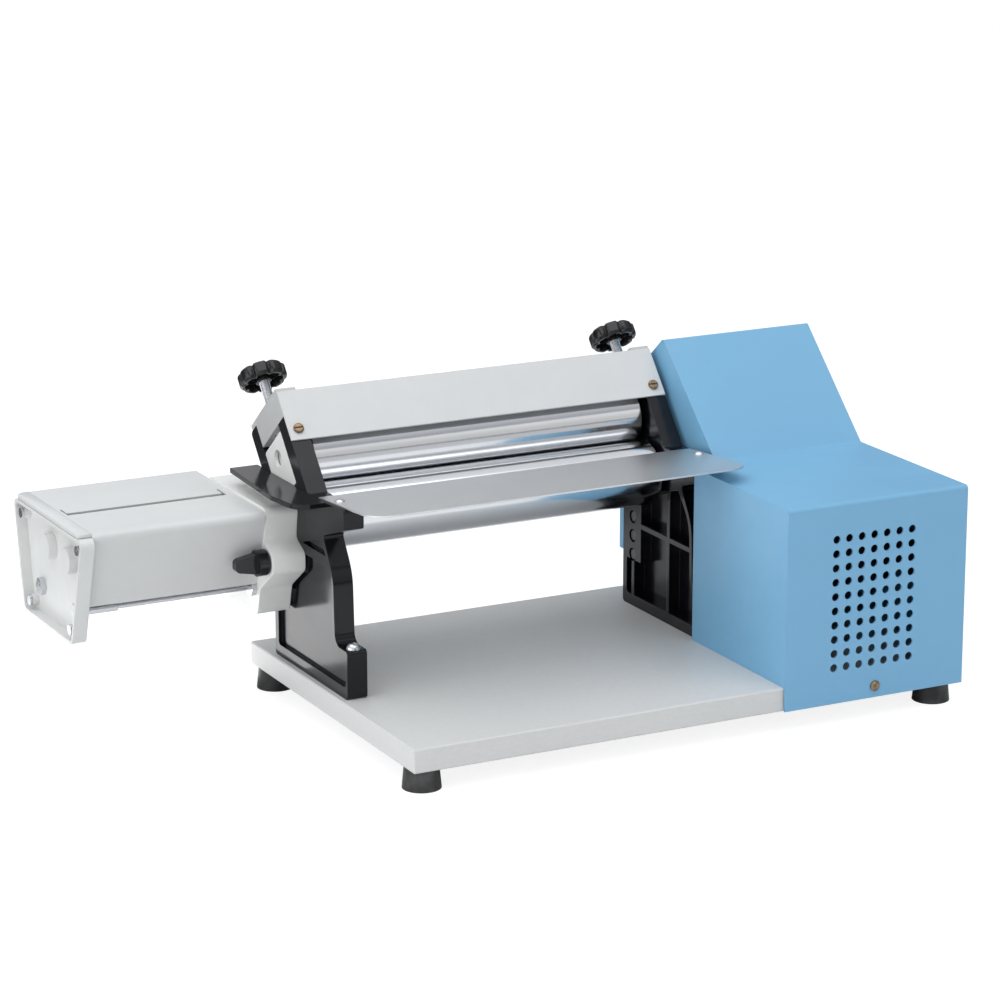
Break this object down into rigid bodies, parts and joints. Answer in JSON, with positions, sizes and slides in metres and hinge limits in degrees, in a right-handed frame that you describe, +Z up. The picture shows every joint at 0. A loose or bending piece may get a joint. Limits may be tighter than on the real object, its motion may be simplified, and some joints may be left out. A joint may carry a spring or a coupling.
{
  "type": "fondant sheeter",
  "caption": "Tabletop electric dough and fondant sheeter with leaning ribbed frames, chrome rollers, feed tray, adjuster knobs, vented drive housing and a side strip cutter.",
  "frame": {"origin": "middle of the overall footprint, on the surface that the feet stand on", "axes": "+X along the rollers from the cutter to the drive housing, +Y from the feed side to the back, +Z up"},
  "size_m": [0.6332, 0.347, 0.2569],
  "materials": {
    "base": "satin light grey laminate",
    "black_frame": "gloss black enamel on a casting",
    "grey_cast": "smooth light grey enamel on a casting",
    "grey_sheet": "smooth light grey powder coat on sheet",
    "blue_sheet": "satin blue powder coat on sheet",
    "stainless": "brushed stainless steel",
    "chrome": "polished hard chrome",
    "steel": "machined steel",
    "zinc": "bright zinc plate",
    "brass": "bright brass",
    "bronze": "plain bearing bronze",
    "aluminium": "milled aluminium",
    "black_plastic": "moulded black plastic",
    "black_matte": "moulded matte black plastic",
    "rubber": "moulded black rubber",
    "motor_paint": "dark grey enamel"
  },
  "bodies": {
    "frame": {"base_board": "base", "rubber_feet": "rubber", "feet_screws": "zinc", "toe_bolts": "zinc", "frame_screws": "zinc", "left_side_frame": "black_frame", "right_side_frame": "black_frame", "head_caps": "grey_cast", "cap_screws": "zinc", "lower_bushings": "bronze", "stub_bushing": "bronze", "takeoff_cover": "black_frame", "cover_bar": "grey_sheet", "cover_bar_screws": "brass", "feed_tray": "stainless", "tray_screws": "zinc", "gear_shelf": "black_frame", "gear_shelf_screws": "zinc", "cutter_bracket": "grey_cast", "cutter_hood": "grey_sheet", "cutter_end_plate": "grey_cast", "end_plate_screws": "zinc", "tie_rods": "zinc", "tie_rod_nuts": "zinc", "housing_shell": "blue_sheet", "housing_screws": "brass", "housing_bracket": "blue_sheet", "column_screws": "zinc", "drive_plate": "steel", "drive_plate_screws": "zinc", "gearbox": "aluminium", "gearbox_screws": "zinc", "motor_body": "motor_paint", "idler_stud": "steel", "switch_frame": "black_matte", "cable_gland": "black_matte"},
    "lower_roller": {"lower_roller": "chrome", "lower_sync_gear": "steel", "roller_drive_gear": "steel", "takeoff_gear": "steel"},
    "carriage": {"left_bearing_block": "grey_cast", "right_bearing_block": "grey_cast"},
    "upper_roller": {"upper_roller": "chrome", "upper_sync_gear": "steel"},
    "left_adjuster": {"left_adjuster_screw": "zinc", "left_adjuster_knob": "black_plastic"},
    "right_adjuster": {"right_adjuster_screw": "zinc", "right_adjuster_knob": "black_plastic"},
    "idler": {"idler_gear": "steel"},
    "pinion": {"motor_pinion": "steel"},
    "front_cutter": {"cutter_drive_stub": "steel", "front_cutter_roller": "stainless", "front_cutter_gear": "steel"},
    "rear_cutter": {"rear_cutter_roller": "stainless", "rear_cutter_gear": "steel"},
    "clamp": {"clamp_knob": "black_plastic", "clamp_stud": "zinc"},
    "rocker": {"switch_rocker": "black_plastic"}
  },
  "joints": [
    {"name": "lower_roller_turn", "type": "hinge", "parent": "frame", "child": "lower_roller", "pos_m": [0.01537, 0.03916, 0.15], "axis": [1, 0, 0], "continuous": true},
    {"name": "roller_gap", "type": "slide", "parent": "frame", "child": "carriage", "axis": [0, 0.6428, 0.766], "range_m": [-0.0007, 0.005]},
    {"name": "upper_roller_turn", "type": "hinge", "parent": "carriage", "child": "upper_roller", "pos_m": [0.01537, 0.07194, 0.18907], "axis": [1, 0, 0], "continuous": true},
    {"name": "left_adjuster_turn", "type": "hinge", "parent": "carriage", "child": "left_adjuster", "pos_m": [-0.13564, 0.07194, 0.18907], "axis": [0, 0.6428, 0.766], "range_deg": [-170, 1202]},
    {"name": "right_adjuster_turn", "type": "hinge", "parent": "carriage", "child": "right_adjuster", "pos_m": [0.16637, 0.07194, 0.18907], "axis": [0, 0.6428, 0.766], "range_deg": [-170, 1202]},
    {"name": "idler_turn", "type": "hinge", "parent": "frame", "child": "idler", "pos_m": [0.20136, -0.01684, 0.108], "axis": [1, 0, 0], "continuous": true},
    {"name": "pinion_turn", "type": "hinge", "parent": "frame", "child": "pinion", "pos_m": [0.20136, -0.05988, 0.09484], "axis": [1, 0, 0], "continuous": true},
    {"name": "front_cutter_turn", "type": "hinge", "parent": "frame", "child": "front_cutter", "pos_m": [-0.23564, 0.06975, 0.1328], "axis": [1, 0, 0], "continuous": true},
    {"name": "rear_cutter_turn", "type": "hinge", "parent": "frame", "child": "rear_cutter", "pos_m": [-0.23564, 0.11175, 0.1328], "axis": [1, 0, 0], "continuous": true},
    {"name": "clamp_turn", "type": "hinge", "parent": "frame", "child": "clamp", "pos_m": [-0.17364, 0.03566, 0.1215], "axis": [-1, 0, 0], "range_deg": [0, 540]},
    {"name": "rocker_tilt", "type": "hinge", "parent": "frame", "child": "rocker", "pos_m": [0.31137, -0.10884, 0.104], "axis": [0, 1, 0], "range_deg": [0, 20]}
  ],
  "couplings": [
    {"joint": "upper_roller_turn", "follows": "lower_roller_turn", "ratio": -1},
    {"joint": "left_adjuster_turn", "follows": "roller_gap", "rad_per_m": 4188.8},
    {"joint": "right_adjuster_turn", "follows": "roller_gap", "rad_per_m": 4188.8},
    {"joint": "idler_turn", "follows": "lower_roller_turn", "ratio": -1.3333},
    {"joint": "pinion_turn", "follows": "lower_roller_turn", "ratio": 2.6667},
    {"joint": "front_cutter_turn", "follows": "lower_roller_turn", "ratio": -0.66667},
    {"joint": "rear_cutter_turn", "follows": "lower_roller_turn", "ratio": 0.66667}
  ]
}
